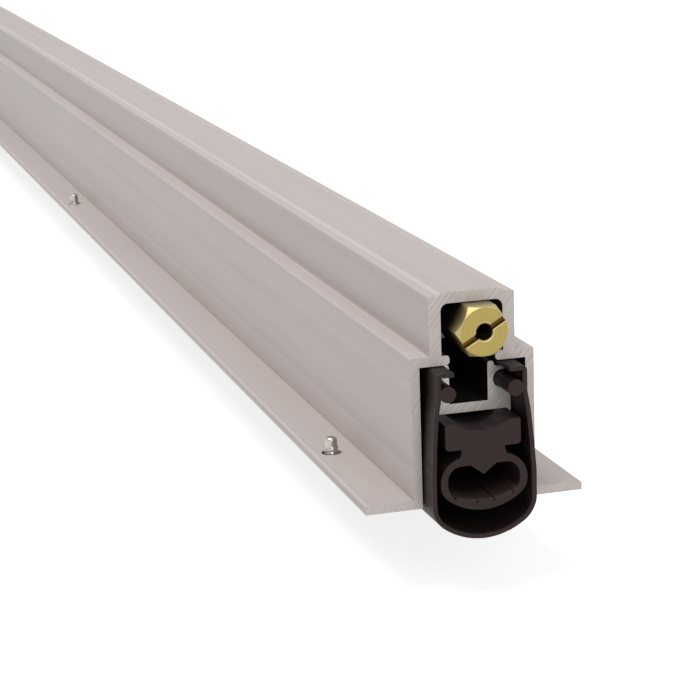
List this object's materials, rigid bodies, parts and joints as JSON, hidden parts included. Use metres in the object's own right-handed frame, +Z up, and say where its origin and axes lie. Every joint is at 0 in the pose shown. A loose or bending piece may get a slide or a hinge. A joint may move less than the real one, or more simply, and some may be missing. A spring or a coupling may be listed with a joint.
{
  "type": "automatic door bottom seal",
  "caption": "Concealed door bottom seal: pressing the hexagonal plunger lowers a rubber sealing strip from a flanged aluminium housing.",
  "frame": {"origin": "middle of the bar's length on the flanges' top face, which meets the door's bottom edge", "axes": "+X along the bar towards the adjuster end, +Y across the door, +Z up into the door"},
  "size_m": [1.0776, 0.0444, 0.0479],
  "materials": {
    "mill_aluminium": "satin mill finish with fine die lines",
    "bar_aluminium": "bright mill finish",
    "black_rubber": "matt",
    "brass": "turned",
    "zinc_steel": "bright zinc",
    "screw_steel": "bright nickel",
    "spring_steel": "drawn wire",
    "block_zinc": "cast zinc, tumbled"
  },
  "bodies": {
    "housing": {"housing": "mill_aluminium", "door_screws_left": "screw_steel", "door_screws_right": "screw_steel", "front_guide": "block_zinc", "middle_guide": "block_zinc", "anchor_block_front": "block_zinc", "anchor_block_rear": "block_zinc", "anchor_pin_front": "zinc_steel", "anchor_pin_rear": "zinc_steel", "block_set_screws": "zinc_steel", "return_spring_front": "spring_steel", "return_spring_rear": "spring_steel"},
    "plunger": {"plunger_rod": "zinc_steel", "adjuster_nut": "brass", "stop_collar": "zinc_steel", "collar_set_screw": "zinc_steel", "slider_block_front": "block_zinc", "slider_block_rear": "block_zinc", "slider_set_screw_front": "zinc_steel", "slider_set_screw_rear": "zinc_steel"},
    "dropper": {"dropper_bar": "bar_aluminium", "outer_skirt": "black_rubber", "bulb_seal": "black_rubber", "drop_bracket_front": "zinc_steel", "drop_bracket_rear": "zinc_steel", "bracket_rivets_front": "zinc_steel", "bracket_rivets_rear": "zinc_steel"},
    "front_short_arm": {"short_arm_front": "zinc_steel", "centre_pin_front": "zinc_steel"},
    "front_long_arm": {"long_arm_front": "zinc_steel", "slider_pin_front": "zinc_steel", "bracket_pin_front": "zinc_steel"},
    "rear_short_arm": {"short_arm_rear": "zinc_steel", "centre_pin_rear": "zinc_steel"},
    "rear_long_arm": {"long_arm_rear": "zinc_steel", "slider_pin_rear": "zinc_steel", "bracket_pin_rear": "zinc_steel"}
  },
  "joints": [
    {"name": "plunger_slide", "type": "slide", "parent": "housing", "child": "plunger", "axis": [-1, 0, 0], "range_m": [0, 0.0055], "stiffness_N_per_m": 1500, "springref_m": -0.012, "deforming": ["return_spring_front", "return_spring_rear"]},
    {"name": "dropper_slide", "type": "slide", "parent": "housing", "child": "dropper", "axis": [0, 0, -1], "range_m": [0, 0.01201]},
    {"name": "front_short_arm_pivot", "type": "hinge", "parent": "housing", "child": "front_short_arm", "pos_m": [0.3684, 0, 0.0284], "axis": [0, 1, 0], "range_deg": [0, 23.47]},
    {"name": "front_long_arm_pivot", "type": "hinge", "parent": "front_short_arm", "child": "front_long_arm", "pos_m": [0.38423, 0, 0.02477], "axis": [0, -1, 0], "range_deg": [0, 46.94]},
    {"name": "rear_short_arm_pivot", "type": "hinge", "parent": "housing", "child": "rear_short_arm", "pos_m": [-0.3984, 0, 0.0284], "axis": [0, 1, 0], "range_deg": [0, 23.47]},
    {"name": "rear_long_arm_pivot", "type": "hinge", "parent": "rear_short_arm", "child": "rear_long_arm", "pos_m": [-0.38257, 0, 0.02477], "axis": [0, -1, 0], "range_deg": [0, 46.94]}
  ],
  "couplings": [
    {"joint": "dropper_slide", "follows": "plunger_slide", "ratio": 2.1818},
    {"joint": "front_short_arm_pivot", "follows": "plunger_slide", "rad_per_m": 74.415},
    {"joint": "front_long_arm_pivot", "follows": "plunger_slide", "rad_per_m": 148.83},
    {"joint": "rear_short_arm_pivot", "follows": "plunger_slide", "rad_per_m": 74.415},
    {"joint": "rear_long_arm_pivot", "follows": "plunger_slide", "rad_per_m": 148.83}
  ]
}
